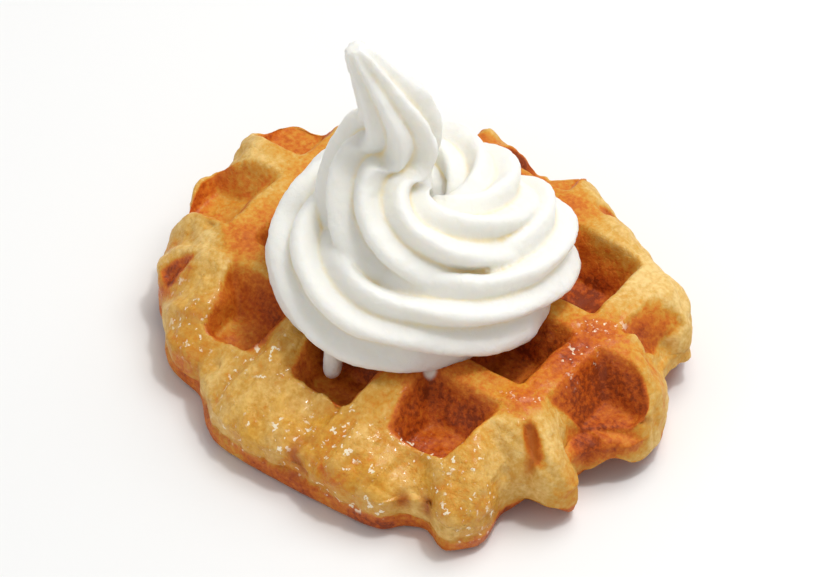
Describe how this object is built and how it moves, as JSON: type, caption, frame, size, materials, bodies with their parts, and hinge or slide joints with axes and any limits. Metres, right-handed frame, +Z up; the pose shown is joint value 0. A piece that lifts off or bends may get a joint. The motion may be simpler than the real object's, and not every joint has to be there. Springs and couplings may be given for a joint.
{
  "type": "waffle with soft-serve cream",
  "caption": "Thick pressed sugar waffle with deep square pockets and an uneven domed rim, carrying a fluted swirl of soft-serve cream with a leaning peak.",
  "frame": {"origin": "on the table, under the middle of the whole outline in plan", "axes": "+Z up, through the cream; +X and +Y along the two directions of the waffle's ridges"},
  "size_m": [0.1149, 0.0981, 0.085],
  "materials": {
    "golden_crust": "baked dough, browned in the pockets, with patches of shiny melted sugar",
    "soft_serve_cream": "smooth frozen cream with a fine icy grain"
  },
  "bodies": {
    "root": {"waffle": "golden_crust", "soft_serve": "soft_serve_cream"}
  },
  "joints": []
}
